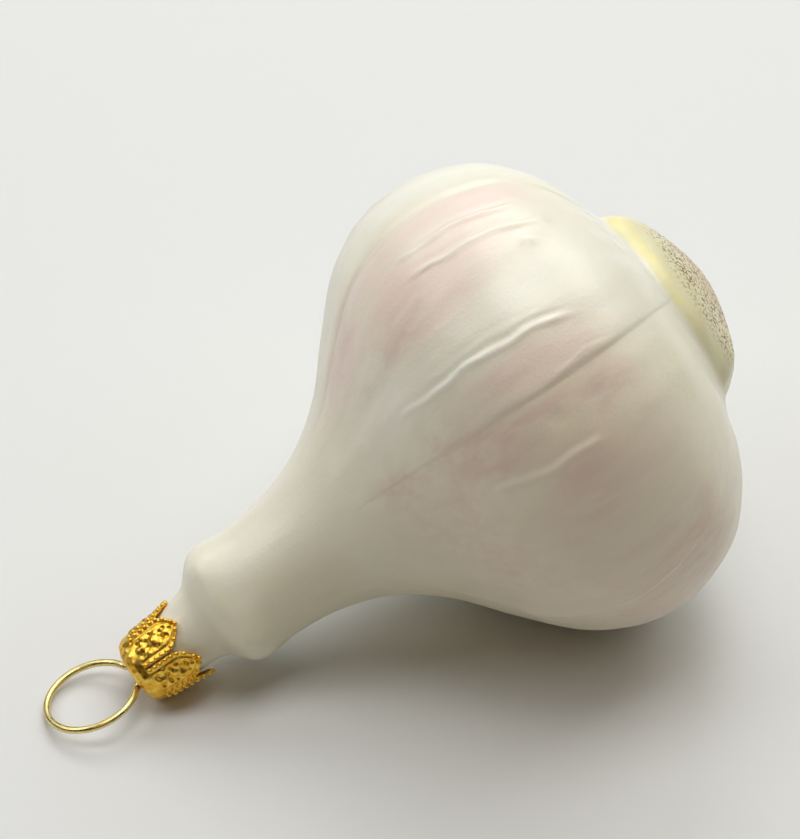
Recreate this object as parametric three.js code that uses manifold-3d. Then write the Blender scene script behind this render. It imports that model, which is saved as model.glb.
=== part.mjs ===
// Hollow blown-glass ornament in the shape of a garlic bulb, lying on its side.
// Three pieces: the painted glass shell, a stamped crown cap and a bent wire hanger.
// Millimetres, +Z up. +X runs level from the cap towards the root end, +Y away from the show side.
import * as THREE from 'three';
import { mergeVertices } from 'three/addons/utils/BufferGeometryUtils.js';
import Module from 'manifold-3d';

const DEGREE = Math.PI / 180;

// Pose: the ornament's own axis starts at the root apex and runs down to the cap.
const AXIS_TILT = 25.2;
const ROOT_APEX = { x: 44.97, y: 0.3, z: 41.07 };

// Glass shell. Crown line of the cloves: radius, distance from the root apex, valley depth.
const WALL = 0.9;
const GLASS_LINE = [
  [0, 0, 0],
  [2.4, 0.2, 0],
  [5.2, 0.85, 0],
  [8.3, 1.95, 0],
  [11.3, 3.5, 0],
  [13.2, 5.3, 0],
  [14.2, 6.9, 0.15],
  [16.4, 8.0, 0.45],
  [19.9, 9.1, 0.65],
  [24.2, 11.5, 0.75],
  [28.8, 16.0, 0.8],
  [31.3, 22.0, 0.85],
  [31.8, 27.5, 0.8],
  [30.7, 32.7, 0.7],
  [27.5, 38.4, 0.6],
  [21.5, 44.2, 0.4],
  [15.4, 49.5, 0.2],
  [11.1, 55.3, 0.05],
  [8.8, 61.5, 0],
  [8.05, 67.5, 0],
  [8.3, 71.8, 0],
  [7.9, 73.9, 0],
  [6.6, 75.4, 0],
  [5.3, 76.7, 0],
  [4.75, 78.5, 0],
  [4.45, 80.9, 0],
  [4.2, 83.8, 0],
  [3.65, 87.0, 0],
];
// Turn angle of each crease between two cloves at the stem and at the root plate, where 0 is up.
const CREASES = [
  { stem: 17, root: 17 },
  { stem: 66, root: 72 },
  { stem: 124, root: 130 },
  { stem: 170, root: 188 },
  { stem: 246, root: 266.5 },
  { stem: 320.5, root: 318.5 },
];
const CREASE_SPAN = { stem: 50, root: 9 };
const COLUMNS_PER_CLOVE = 10;
const STEPS_PER_POINT = 2;
// Each clove's first edge laps over the clove before it: a steep step, then a shallow valley.
const VALLEY = { sharpness: 2, lap: 0.6, lapWidth: 0.035 };

// The axis wanders a little: the belly hangs low and the stem leans to the upper far side.
const LEAN_ANGLE = 48;
const BELLY_SAG = { station: 25, reach: 12, shift: -0.5 };
const STEM_LEAN = { start: 40, end: 58, fade: 75, straight: 84, shift: 0.6 };

// The collar left where the leaves are cut is uneven round the stem.
const COLLAR = { station: 72.4, reach: 2.6, lump: 0.3, lumps: 3, phase: 35 };

// Crown cap: thin sheet, a round top and six pointed petals with a beaded border.
const SHEET = 0.3;
const PETALS = 6;
const FIRST_PETAL = 46;
const PETAL_COLUMNS = 6;
const CAP_ROWS = [
  [1.8, 87.9],
  [3.3, 87.86],
  [4.15, 87.45],
  [4.58, 86.75],
  [4.72, 85.9],
];
const PETAL_TIP = { radius: 5.2, station: 79.4 };
const PETAL_ROWS = 7;
const PETAL_HALF_WIDTH = { base: 2.34, spread: 0.24 };
const PETAL_SHOULDER = 0.58;
const PETAL_POINT = 2;
const TIP_HALF_WIDTH = 0.12;
// How far the petals leave the round collar for a flat sheet, and the share where they have done so.
const PETAL_FLATNESS = { most: 0.55, reached: 0.2 };
const BEAD_RADIUS = 0.3;
const BEADS_PER_SIDE = 6;
const BEAD_INSET = 0.25;
const BEAD_RUN = { first: 0.07, last: 0.9, tip: 0.965 };

// Hanger: a nearly closed ring with two legs that spring apart inside the neck.
const WIRE_RADIUS = 0.45;
const WIRE_SIDES = 8;
const WIRE_STEPS = 64;
const RING_RADIUS = 5.95;
const RING_STATION = 93.95;
const RING_LIFT = 13.5;
const RING_ROLL = 9.5;
const RING_OPENING = 27;
const LEG_OFFSET = 2.05;
const LEG_ROUTE = [
  [2.3, 82.0],
  [2.05, 84.6],
  [1.9, 86.6],
  [2.03, 87.95],
];
const LEG_BEND = [2.35, 88.47];
const HOLE = { radius: 0.82, height: 3, sides: 14 };
const RING_POINTS = 22;

const wasm = await Module();
wasm.setup();

function smoothStep(from, to, value) {
  return THREE.MathUtils.smoothstep(value, from, to);
}

function bell(station, centre, reach) {
  return Math.exp(-(((station - centre) / reach) ** 2));
}

// From the ornament's axis frame, with z along the axis, to the lying pose.
function layDown(geometry) {
  const turn = new THREE.Matrix4().makeRotationY(-(90 + AXIS_TILT) * DEGREE);
  const lift = new THREE.Matrix4().makeTranslation(ROOT_APEX.x, ROOT_APEX.y, ROOT_APEX.z);
  geometry.applyMatrix4(lift.multiply(turn));
  return geometry;
}

// Whatever would dip below the table is ground to a small flat spot.
function flattenBelow(geometry) {
  const position = geometry.getAttribute('position');
  for (let i = 0; i < position.count; i += 1) {
    position.setZ(i, Math.max(position.getZ(i), 0));
  }
  return geometry;
}

function bareGeometry(points, faces) {
  const geometry = new THREE.BufferGeometry();
  const numbers = points.flatMap((point) => [point.x, point.y, point.z]);
  geometry.setAttribute('position', new THREE.Float32BufferAttribute(numbers, 3));
  geometry.setIndex(faces.flat());
  return geometry;
}

function toManifold(geometry) {
  const bare = geometry.clone();
  bare.deleteAttribute('normal');
  bare.deleteAttribute('uv');
  const merged = mergeVertices(bare, 1e-4);
  return new wasm.Manifold(new wasm.Mesh({
    numProp: 3,
    vertProperties: new Float32Array(merged.getAttribute('position').array),
    triVerts: new Uint32Array(merged.getIndex().array),
  }));
}

function fromManifold(solid) {
  const mesh = solid.getMesh();
  const geometry = new THREE.BufferGeometry();
  geometry.setAttribute('position', new THREE.BufferAttribute(mesh.vertProperties, mesh.numProp));
  geometry.setIndex(new THREE.BufferAttribute(mesh.triVerts, 1));
  return geometry;
}

// Turn angle of a place on a clove: across runs from 0 at its first crease to 1 at its last.
// The creases swing round most near the stem and run straight into the root plate.
function cloveAngle(clove, across, station) {
  const share = THREE.MathUtils.clamp(
    (CREASE_SPAN.stem - station) / (CREASE_SPAN.stem - CREASE_SPAN.root), 0, 1);
  const crease = (index) => {
    const { stem, root } = CREASES[index % CREASES.length];
    const turned = Math.sin(share * Math.PI / 2);
    return THREE.MathUtils.lerp(stem, root, turned) + (index < CREASES.length ? 0 : 360);
  };
  return THREE.MathUtils.lerp(crease(clove), crease(clove + 1), across);
}

// Columns crowd together at the creases between the cloves.
function cloveColumns() {
  const columns = [];
  CREASES.forEach((crease, clove) => {
    for (let k = 0; k < COLUMNS_PER_CLOVE; k += 1) {
      const even = k / COLUMNS_PER_CLOVE;
      const eased = 0.5 - 0.5 * Math.cos(Math.PI * even);
      columns.push({ clove, across: (even + eased) / 2 });
    }
  });
  return columns;
}

// One in the crease between two cloves, nothing on a clove's crown.
function valleyWeight(across) {
  const slope = Math.abs(1 - 2 * across) ** VALLEY.sharpness;
  if (across > 0.5) {
    return slope;
  }
  const step = Math.exp(-((across / VALLEY.lapWidth) ** 2));
  return THREE.MathUtils.lerp(slope, step, VALLEY.lap);
}

function axisShift(station) {
  const sag = BELLY_SAG.shift * bell(station, BELLY_SAG.station, BELLY_SAG.reach);
  const rise = smoothStep(STEM_LEAN.start, STEM_LEAN.end, station);
  const fall = 1 - smoothStep(STEM_LEAN.fade, STEM_LEAN.straight, station);
  return sag + STEM_LEAN.shift * rise * fall;
}

const glassLine = new THREE.CatmullRomCurve3(
  GLASS_LINE.map(([radius, station, depth]) => new THREE.Vector3(radius, station, depth)),
  false,
  'catmullrom',
);

// A point of the glass at a share of its line, a place on a clove and a distance below the outer skin.
function glassPoint(share, { clove, across }, inset) {
  const { x: radius, y: station, z: depth } = glassLine.getPoint(share);
  const tangent = glassLine.getTangent(share);
  const slope = new THREE.Vector2(tangent.y, -tangent.x).normalize();
  const angle = cloveAngle(clove, across, station);
  const lump = COLLAR.lump * Math.sin((COLLAR.lumps * angle + COLLAR.phase) * DEGREE);
  const collar = lump * bell(station, COLLAR.station, COLLAR.reach);
  const sink = depth * valleyWeight(across) + inset - collar;
  const around = radius - slope.x * sink;
  const along = station - slope.y * sink;
  const shift = axisShift(along);
  return new THREE.Vector3(
    around * Math.cos(angle * DEGREE) + shift * Math.cos(LEAN_ANGLE * DEGREE),
    around * Math.sin(angle * DEGREE) + shift * Math.sin(LEAN_ANGLE * DEGREE),
    along,
  );
}

// Outer skin up to the open mouth, and back down inside at half the fineness.
function glassGeometry() {
  const segments = GLASS_LINE.length - 1;
  const columns = cloveColumns();
  const innerColumns = columns.filter((column, index) => index % 2 === 0);
  const outerRows = segments * STEPS_PER_POINT;
  const points = [];
  const faces = [];

  function apex(inset) {
    const { z } = glassPoint(0, columns[0], inset);
    points.push(new THREE.Vector3(0, 0, z));
    return points.length - 1;
  }

  function ring(share, list, inset) {
    const first = points.length;
    list.forEach((column) => points.push(glassPoint(share, column, inset)));
    return list.map((column, index) => first + index);
  }

  function skin(tip, rings, outward) {
    const add = (a, b, c) => faces.push(outward ? [a, b, c] : [a, c, b]);
    const count = rings[0].length;
    for (let j = 0; j < count; j += 1) {
      const next = (j + 1) % count;
      add(tip, rings[0][next], rings[0][j]);
      for (let i = 0; i + 1 < rings.length; i += 1) {
        add(rings[i][j], rings[i][next], rings[i + 1][next]);
        add(rings[i][j], rings[i + 1][next], rings[i + 1][j]);
      }
    }
  }

  const outerTip = apex(0);
  const outer = [];
  for (let row = 1; row <= outerRows; row += 1) {
    outer.push(ring(row / outerRows, columns, 0));
  }
  const innerTip = apex(WALL);
  const inner = [];
  for (let row = 1; row <= segments; row += 1) {
    inner.push(ring(row / segments, innerColumns, WALL));
  }
  skin(outerTip, outer, true);
  skin(innerTip, inner, false);

  const rim = outer.at(-1);
  const mouth = inner.at(-1);
  mouth.forEach((here, k) => {
    const beyond = mouth[(k + 1) % mouth.length];
    const [a, b, c] = [rim[2 * k], rim[2 * k + 1], rim[(2 * k + 2) % rim.length]];
    faces.push([a, b, here], [b, beyond, here], [b, c, beyond]);
  });
  return bareGeometry(points, faces);
}

function petalHalfWidth(share) {
  const past = Math.max(0, (share - PETAL_SHOULDER) / (1 - PETAL_SHOULDER));
  const side = PETAL_HALF_WIDTH.base + PETAL_HALF_WIDTH.spread * share;
  return Math.max(side * (1 - past ** PETAL_POINT), TIP_HALF_WIDTH);
}

// A point of a petal's outer face: share runs from base to tip, across from -1 to 1.
// Petals are flatter than the collar, so a point off the middle lies a little further out.
function petalPoint(petal, share, across) {
  const [baseRadius, baseStation] = CAP_ROWS.at(-1);
  const radius = THREE.MathUtils.lerp(baseRadius, PETAL_TIP.radius, share);
  const station = THREE.MathUtils.lerp(baseStation, PETAL_TIP.station, share);
  const offset = across * petalHalfWidth(share) / radius;
  const flatness = PETAL_FLATNESS.most * smoothStep(0, PETAL_FLATNESS.reached, share);
  const out = radius * (1 + flatness * (1 / Math.cos(offset) - 1));
  const angle = (FIRST_PETAL + petal * 360 / PETALS) * DEGREE + offset;
  return new THREE.Vector3(out * Math.cos(angle), out * Math.sin(angle), station);
}

// Gives an open sheet its thickness and closes it along every free edge.
function thicken(points, faces, thickness) {
  const sheet = bareGeometry(points, faces);
  sheet.computeVertexNormals();
  const normals = sheet.getAttribute('normal');
  const count = points.length;
  const inner = points.map((point, index) => {
    const normal = new THREE.Vector3().fromBufferAttribute(normals, index);
    return point.clone().addScaledVector(normal, -thickness);
  });
  const solid = [...faces, ...faces.map(([a, b, c]) => [a + count, c + count, b + count])];
  const directed = new Set();
  faces.forEach(([a, b, c]) => {
    [[a, b], [b, c], [c, a]].forEach(([from, to]) => directed.add(`${from},${to}`));
  });
  directed.forEach((edge) => {
    const [from, to] = edge.split(',').map(Number);
    if (!directed.has(`${to},${from}`)) {
      solid.push([to, from, from + count], [to, from + count, to + count]);
    }
  });
  return bareGeometry([...points, ...inner], solid);
}

function capSheet() {
  const points = [new THREE.Vector3(0, 0, CAP_ROWS[0][1])];
  const faces = [];
  const columns = PETALS * PETAL_COLUMNS;
  const start = FIRST_PETAL - 180 / PETALS;
  const rows = CAP_ROWS.map(([radius, station]) => {
    const first = points.length;
    for (let j = 0; j < columns; j += 1) {
      const angle = (start + j * 360 / columns) * DEGREE;
      points.push(new THREE.Vector3(radius * Math.cos(angle), radius * Math.sin(angle), station));
    }
    return Array.from({ length: columns }, (unused, j) => first + j);
  });
  for (let j = 0; j < columns; j += 1) {
    const next = (j + 1) % columns;
    faces.push([0, rows[0][j], rows[0][next]]);
    for (let i = 0; i + 1 < rows.length; i += 1) {
      faces.push([rows[i][j], rows[i + 1][j], rows[i + 1][next]]);
      faces.push([rows[i][j], rows[i + 1][next], rows[i][next]]);
    }
  }
  for (let petal = 0; petal < PETALS; petal += 1) {
    let above = Array.from(
      { length: PETAL_COLUMNS + 1 },
      (unused, j) => rows.at(-1)[(petal * PETAL_COLUMNS + j) % columns],
    );
    for (let row = 1; row <= PETAL_ROWS; row += 1) {
      const below = above.map((unused, j) => {
        points.push(petalPoint(petal, row / PETAL_ROWS, 2 * j / PETAL_COLUMNS - 1));
        return points.length - 1;
      });
      for (let j = 0; j < PETAL_COLUMNS; j += 1) {
        faces.push([above[j], below[j], below[j + 1]], [above[j], below[j + 1], above[j + 1]]);
      }
      above = below;
    }
  }
  return thicken(points, faces, SHEET);
}

// Beads stamped along a petal's border, evenly spaced from the base to the point.
function beadCentres(petal) {
  const centres = [petalPoint(petal, BEAD_RUN.tip, 0)];
  for (let bead = 0; bead < BEADS_PER_SIDE; bead += 1) {
    const share = THREE.MathUtils.lerp(BEAD_RUN.first, BEAD_RUN.last, bead / (BEADS_PER_SIDE - 1));
    const across = 1 - BEAD_INSET / petalHalfWidth(share);
    centres.push(petalPoint(petal, share, across), petalPoint(petal, share, -across));
  }
  return centres;
}

// Axis-frame direction across the two wire holes, and the leaned direction of the ring.
const ringTilt = RING_LIFT * DEGREE;
const ringRoll = RING_ROLL * DEGREE;
const ringAway = new THREE.Vector3(Math.sin(ringTilt), 0, Math.cos(ringTilt));
const ringFace = new THREE.Vector3().crossVectors(ringAway, new THREE.Vector3(0, 1, 0));
const ringAcross = new THREE.Vector3(0, Math.cos(ringRoll), 0)
  .addScaledVector(ringFace, Math.sin(ringRoll));
const legAcross = new THREE.Vector3(ringAcross.x, ringAcross.y, 0).normalize();

function capGeometry() {
  let solid = toManifold(capSheet());
  for (let petal = 0; petal < PETALS; petal += 1) {
    beadCentres(petal).forEach((centre) => {
      const bead = new THREE.OctahedronGeometry(BEAD_RADIUS, 0);
      bead.translate(centre.x, centre.y, centre.z);
      solid = solid.add(toManifold(bead));
    });
  }
  [-1, 1].forEach((side) => {
    const hole = new THREE.CylinderGeometry(HOLE.radius, HOLE.radius, HOLE.height, HOLE.sides);
    hole.rotateX(Math.PI / 2);
    const centre = legAcross.clone().multiplyScalar(side * LEG_OFFSET);
    hole.translate(centre.x, centre.y, CAP_ROWS[0][1]);
    solid = solid.subtract(toManifold(hole));
  });
  return fromManifold(solid);
}

function hangerGeometry() {
  const legPoint = ([offset, station], side) => legAcross.clone()
    .multiplyScalar(side * offset)
    .add(new THREE.Vector3(0, 0, station));
  const centre = new THREE.Vector3(0, 0, CAP_ROWS[0][1])
    .addScaledVector(ringAway, RING_STATION - CAP_ROWS[0][1]);
  const route = LEG_ROUTE.map((point) => legPoint(point, -1));
  route.push(legPoint(LEG_BEND, -1));
  for (let k = 0; k <= RING_POINTS; k += 1) {
    const turn = (-180 + RING_OPENING + (360 - 2 * RING_OPENING) * k / RING_POINTS) * DEGREE;
    route.push(centre.clone()
      .addScaledVector(ringAway, RING_RADIUS * Math.cos(turn))
      .addScaledVector(ringAcross, RING_RADIUS * Math.sin(turn)));
  }
  route.push(legPoint(LEG_BEND, 1));
  [...LEG_ROUTE].reverse().forEach((point) => route.push(legPoint(point, 1)));
  const section = new THREE.Shape();
  for (let side = 0; side < WIRE_SIDES; side += 1) {
    const angle = 2 * Math.PI * side / WIRE_SIDES;
    const method = side === 0 ? 'moveTo' : 'lineTo';
    section[method](WIRE_RADIUS * Math.cos(angle), WIRE_RADIUS * Math.sin(angle));
  }
  section.closePath();
  return new THREE.ExtrudeGeometry(section, {
    steps: WIRE_STEPS,
    extrudePath: new THREE.CatmullRomCurve3(route),
  });
}

function piece(name, geometry, colour, roughness, metalness) {
  const material = new THREE.MeshStandardMaterial({ color: colour, roughness, metalness });
  const mesh = new THREE.Mesh(flattenBelow(layDown(geometry)), material);
  mesh.name = name;
  return mesh;
}

const ornament = new THREE.Group();
ornament.add(piece('glass_bulb', glassGeometry(), 0xe6e3d6, 0.35, 0));
ornament.add(piece('crown_cap', capGeometry(), 0xc8941c, 0.3, 1));
ornament.add(piece('hanger_wire', hangerGeometry(), 0xc4aa62, 0.22, 1));

export default ornament;
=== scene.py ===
"""Looks of the glass garlic bulb ornament: painted glass, gilt crown cap and wire hanger."""
import math

import bpy
import numpy as np
from mathutils import Matrix, Vector


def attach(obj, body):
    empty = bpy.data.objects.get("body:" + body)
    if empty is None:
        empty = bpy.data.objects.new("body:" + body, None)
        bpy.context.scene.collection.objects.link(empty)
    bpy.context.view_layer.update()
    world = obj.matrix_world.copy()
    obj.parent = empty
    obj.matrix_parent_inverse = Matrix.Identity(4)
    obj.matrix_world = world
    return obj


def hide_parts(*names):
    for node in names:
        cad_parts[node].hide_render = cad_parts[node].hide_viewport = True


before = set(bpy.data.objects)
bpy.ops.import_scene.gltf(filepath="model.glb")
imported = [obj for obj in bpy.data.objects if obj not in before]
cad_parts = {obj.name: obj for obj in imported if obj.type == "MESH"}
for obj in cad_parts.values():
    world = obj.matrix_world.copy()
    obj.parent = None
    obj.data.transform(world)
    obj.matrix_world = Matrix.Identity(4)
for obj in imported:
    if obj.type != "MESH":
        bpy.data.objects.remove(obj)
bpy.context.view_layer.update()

MM = 0.001

# Pose of the ornament's own axis, which runs from the root apex to the cap. Millimetres.
AXIS_TILT = 25.2
ROOT_APEX = np.array([44.97, 0.3, 41.07])

# Glass: radius, distance from the root apex, valley depth, along a clove's crown.
WALL = 0.9
GLASS_LINE = np.array([
    [0, 0, 0], [2.4, 0.2, 0], [5.2, 0.85, 0], [8.3, 1.95, 0], [11.3, 3.5, 0], [13.2, 5.3, 0],
    [14.2, 6.9, 0.15], [16.4, 8.0, 0.45], [19.9, 9.1, 0.65], [24.2, 11.5, 0.75], [28.8, 16.0, 0.8],
    [31.3, 22.0, 0.85], [31.8, 27.5, 0.8], [30.7, 32.7, 0.7], [27.5, 38.4, 0.6], [21.5, 44.2, 0.4],
    [15.4, 49.5, 0.2], [11.1, 55.3, 0.05], [8.8, 61.5, 0], [8.05, 67.5, 0], [8.3, 71.8, 0],
    [7.9, 73.9, 0], [6.6, 75.4, 0], [5.3, 76.7, 0], [4.75, 78.5, 0], [4.45, 80.9, 0], [4.2, 83.8, 0],
    [3.65, 87.0, 0],
])
LINE_SAMPLES = 6000
GLASS_ROWS = 228
INNER_ROWS = 56
INNER_STEP = 4

# Turn angle of each crease at the stem and at the root plate, and the columns of the clove after it.
CREASES = [
    (17, 17, 64), (66, 72, 40), (124, 130, 36),
    (170, 188, 52), (246, 266.5, 96), (320.5, 318.5, 100),
]
CREASE_SPAN = (50, 9)
COLUMN_CROWDING = 0.4
# Each clove's first edge laps over the clove before it.
VALLEY_SHARPNESS = 2
LAP = 0.6
LAP_WIDTH = 0.016
# Thick paint fills part of the creases beside the root plate and on the upper near side.
ROOT_FILLING = 0.5
ROOT_FILLING_FADE = (12, 22)
UPPER_FILLING = 0.6
UPPER_SIDE = 350
UPPER_SIDE_FADE = (0.1, 0.6)

# The glass bows off its straight axis: amount, station and reach at the belly, then the neck.
LEAN_ANGLE = math.radians(48)
BELLY_LEAN = (-0.5, 25, 12)
NECK_LEAN = 0.6
NECK_LEAN_START = (40, 58)
NECK_LEAN_END = (75, 84)

# Uneven collar of the cut leaves.
COLLAR_HEIGHT = 0.3
COLLAR_WAVES = 3
COLLAR_TURN = 35
COLLAR_STATION = 72.4
COLLAR_REACH = 2.6

# Crown cap.
SHEET = 0.3
PETALS = 6
FIRST_PETAL = 46
CAP_TOP = 87.92
CAP_ROWS = [(1.8, 87.9), (3.3, 87.86), (4.15, 87.45), (4.58, 86.75), (4.72, 85.9)]
PETAL_TIP = (5.2, 79.4)
PETAL_HALF_WIDTH = (2.34, 0.24)
PETAL_SHOULDER = 0.58
PETAL_POINT = 2
TIP_HALF_WIDTH = 0.12
PETAL_FLATNESS = 0.55
PETAL_ROUND_BASE = 0.2
PETAL_STEPS = (56, 40)
CROWN_STEPS = 9 * len(CAP_ROWS)
CROWN_COLUMNS = PETALS * PETAL_STEPS[1]
# Lumps round the shoulder: how many, height, station, reach.
SHOULDER_LUMPS = (24, 0.05, 87.0, 0.6)
# Beaded border of a petal.
BEADS_PER_SIDE = 8
BEAD_RADIUS = 0.34
BEAD_LIFT = 0.06
BEAD_START = 0.06
BEAD_RUN = 0.86
BEAD_INSET = 0.25
TIP_BEAD = 0.975
BEAD_RINGS = 5
BEAD_SIDES = 8

# Hanger wire.
WIRE_RADIUS = 0.45
WIRE_END_TAPER = 0.75
WIRE_SAMPLES = 420
WIRE_SIDES = 20
WIRE_FIRST_NORMAL = (0, 1, 0.3)
RING_RADIUS = 5.95
RING_STATION = 93.95
RING_LIFT = math.radians(13.5)
RING_ROLL = math.radians(9.5)
RING_OPENING = 27
RING_POINTS = 23
LEG_OFFSET = 2.05
LEG_ROUTE = [(2.3, 82.0), (2.05, 84.6), (1.9, 86.6), (2.03, 87.95)]
LEG_BEND = (2.35, 88.47)
HOLE_RADIUS = 0.82
HOLE_STATION = 87.9
DRILL_LENGTH = 3
DRILL_SIDES = 32

# Camera, from the photograph's slope of the axis and its scale in millimetres per pixel.
IMAGE = (800, 839)
IMAGE_SLOPE = 34.95
PIXEL = 0.1265
CAMERA_DISTANCE = 350
CAMERA_CLIP = (0.01, 20)
SENSOR = 36
AIM = (41.92, -7.25)

# Table and room.
TABLE_HALF = 4.0
TABLE_COLOUR = (0.735, 0.74, 0.73, 1)
ROOM_COLOUR = (1.0, 0.97, 0.92, 1)
ROOM_STRENGTH = 0.01

# Soft lights: name, turn from +Y towards +X, height above the table in degrees, watts, tint.
LIGHT_DISTANCE = 1.0
LIGHT_SIZE = (0.5, 0.5)
LIGHT_AIM = (0, 0, 0.02)
STUDIO = [
    ("window_middle", 25.5, 50, 2.85, (1.0, 1.0, 1.0)),
    ("window_left", -19.5, 40, 1.25, (1.0, 1.0, 0.94)),
    ("window_right", 70.5, 42, 2.1, (1.0, 0.99, 0.95)),
    ("window_low", 25.5, 30, 0.6, (0.6, 0.75, 1.0)),
    ("high_right", 80, 68, 1.2, (1.0, 1.0, 0.97)),
    ("ceiling", 0, 90, 2.8, (1.0, 1.0, 0.98)),
    ("side_left", -64.5, 45, 2.1, (0.97, 0.98, 1.0)),
    ("side_right", 115.5, 45, 0.75, (1.0, 0.95, 0.88)),
    ("front_fill", 205.5, 50, 0.6, (1.0, 0.74, 0.46)),
]

# Colours as a screen shows them, 0 to 255.
COLOURS = {
    # The olive tint also paints shade on the side away from the lamps.
    "cream": (248, 241, 220), "warm_cream": (242, 237, 211), "olive_and_painted_shade": (229, 218, 190),
    # The crease colour is painted shade for the creases and round the root plate.
    "pink": (250, 226, 213), "mauve": (226, 200, 186), "crease_shade": (214, 206, 180),
    # The next three are white paints that also paint light: sheen on the lit side, highlight on fold crests
    # and on the lit side of the plate's rim.
    "white_and_sheen": (254, 250, 232), "crest_highlight": (254, 250, 236), "rim_white_and_highlight": (252, 251, 240),
    # The root plate's yellow also paints light: lemon on the side facing the lamps, the plate colour
    # elsewhere.
    "plate": (235, 227, 187), "yellow_and_painted_light": (249, 238, 174), "orange": (250, 222, 150),
    "cloud": (236, 230, 190), "tan": (214, 180, 120), "speck": (112, 58, 10),
    "gilt": (236, 180, 58), "bright_gilt": (250, 208, 90),
    "wire": (226, 206, 134), "bright_wire": (238, 221, 156),
}

# Skin folds of the painted relief. Each runs through (station, turn angle), fades over its ends,
# and has a height in millimetres, a width, and what kind of edge it is.
# A fold's crest share is white paint and a painted highlight along its top.
FOLDS = [
    {"line": [(43, 335), (38, 333.5), (33, 332.9), (28, 332.4), (25, 332), (21, 331), (17, 330)],
     "kind": "ridge", "height": 0.3, "width": 0.36, "fade": 5, "crest_highlight": 0.6},
    {"line": [(39, 334.9), (33, 334.4), (28, 333.9), (24, 333.3), (19, 332.2)],
     "kind": "groove", "height": 0.07, "width": 0.26, "fade": 4},
    {"line": [(39, 336.2), (33, 335.7), (28, 335.2), (24, 334.7), (19, 333.8)],
     "kind": "ridge", "height": 0.05, "width": 0.3, "fade": 4},
    {"line": [(56, 343), (48, 341), (43, 338.5), (36, 335.6)],
     "kind": "ridge", "height": 0.22, "width": 1.7, "fade": 6},
    {"line": [(32, 358.8), (28, 358.2), (24, 357.6), (19.4, 357.2), (14.5, 356.6)],
     "kind": "ridge", "height": 0.44, "width": 0.42, "fade": 2, "crest_highlight": 0.5},
    {"line": [(32, 5.6), (28, 5), (24, 4.6), (20, 4.2), (15, 4)],
     "kind": "ridge", "height": 0.38, "width": 0.42, "fade": 2.5, "crest_highlight": 0.4},
    {"line": [(44, 21), (38, 16.6), (33, 15.7), (25, 16.5), (15, 17.5), (9.5, 20)],
     "kind": "step", "height": 0.1, "width": 0.2, "fade": 4, "reach": 4},
    {"line": [(48, 320.5), (40.5, 320.3), (31, 320), (23, 320), (15.1, 319.5), (9, 318.5)],
     "kind": "step", "height": 0.1, "width": 0.18, "fade": 8, "reach": 4, "crest_highlight": 0.25},
    {"line": [(25, 321), (21.1, 321.2), (16, 320.4)],
     "kind": "ridge", "height": 0.06, "width": 0.3, "fade": 2},
    {"line": [(39, 305.4), (34, 305), (29, 304.6), (23, 304)],
     "kind": "ridge", "height": 0.2, "width": 0.4, "fade": 3, "crest_highlight": 0.15},
    {"line": [(46, 247), (40, 254), (35, 258), (30, 260.3), (25, 262.6), (20, 264.7), (13, 266)],
     "kind": "step", "height": 0.7, "width": 0.16, "fade": 5, "reach": 4, "crest_highlight": 0.7},
    {"line": [(36, 46), (30, 44.6), (24, 43.8), (17, 43)],
     "kind": "ridge", "height": 0.24, "width": 0.45, "fade": 4, "crest_highlight": 0.3},
    {"line": [(39, 96.5), (33, 95.2), (26, 94.4), (17, 93)],
     "kind": "ridge", "height": 0.34, "width": 0.46, "fade": 5, "crest_highlight": 0.4},
    {"line": [(32, 101.5), (26, 100.4), (18, 99.6)],
     "kind": "ridge", "height": 0.22, "width": 0.42, "fade": 3, "crest_highlight": 0.3},
    {"line": [(35, 150.4), (28, 149), (18, 147.6)],
     "kind": "ridge", "height": 0.32, "width": 0.45, "fade": 4, "crest_highlight": 0.4},
    {"line": [(41, 208), (33, 210), (25, 212), (16, 213)],
     "kind": "ridge", "height": 0.28, "width": 0.5, "fade": 5, "crest_highlight": 0.3},
]
# Sideways sway of every fold: millimetres and rate along the axis, slow and fast.
SLOW_SWAY = (0.22, 0.55)
FAST_SWAY = (0.06, 1.5)
UNEVENNESS = 0.15
# Dip beside a ridge: share of its height, distance in ridge widths.
RIDGE_DIP = 0.35
RIDGE_DIP_PLACE = 2.1

# Small rounded lumps and dents: station, turn angle, height, reach in millimetres.
LUMPS = [
    (14.8, 356.6, 0.3, 0.8), (17.3, 351, 0.4, 1.0), (27.1, 313.5, -0.16, 1.1),
    (22.0, 314, -0.1, 1.6), (35.0, 300, 0.12, 2.6), (24.0, 300, 0.14, 3.2),
    (30.0, 288, -0.12, 3.0), (12.5, 340, 0.18, 2.8), (11.0, 300, 0.15, 2.8),
    (8.6, 2, 0.25, 1.6), (8.8, 350, 0.2, 1.8), (9.2, 336, 0.22, 2.4),
    (8.8, 325, 0.15, 1.6), (4.2, 20, 0.3, 2.2), (2.2, 330, 0.25, 2.0),
    (3.4, 262, 0.3, 2.0), (5.2, 245, -0.3, 1.6), (3.0, 120, 0.3, 2.4),
    (4.0, 190, 0.3, 2.4), (40.0, 352, 0.1, 2.8), (20.0, 340, -0.12, 2.6),
    (73.0, 281, 0.45, 1.8), (73.4, 2, 0.3, 1.8), (71.0, 320, -0.22, 2.4),
]
# Lumpiness of the root plate: height, station, reach.
PLATE_LUMPINESS = (0.2, 4.6, 2.4)
# Faint long waves on the cloves: count round the bulb, bend, phase, height.
LONG_WAVES = [(23, 0.9, 0.4, 0.035), (37, -0.6, 2.0, 0.025), (61, 0.4, 4.1, 0.012)]
LONG_WAVE_START = (9, 15)
LONG_WAVE_END = (44, 54)
RELIEF_START = (0.5, 2.5)

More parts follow.
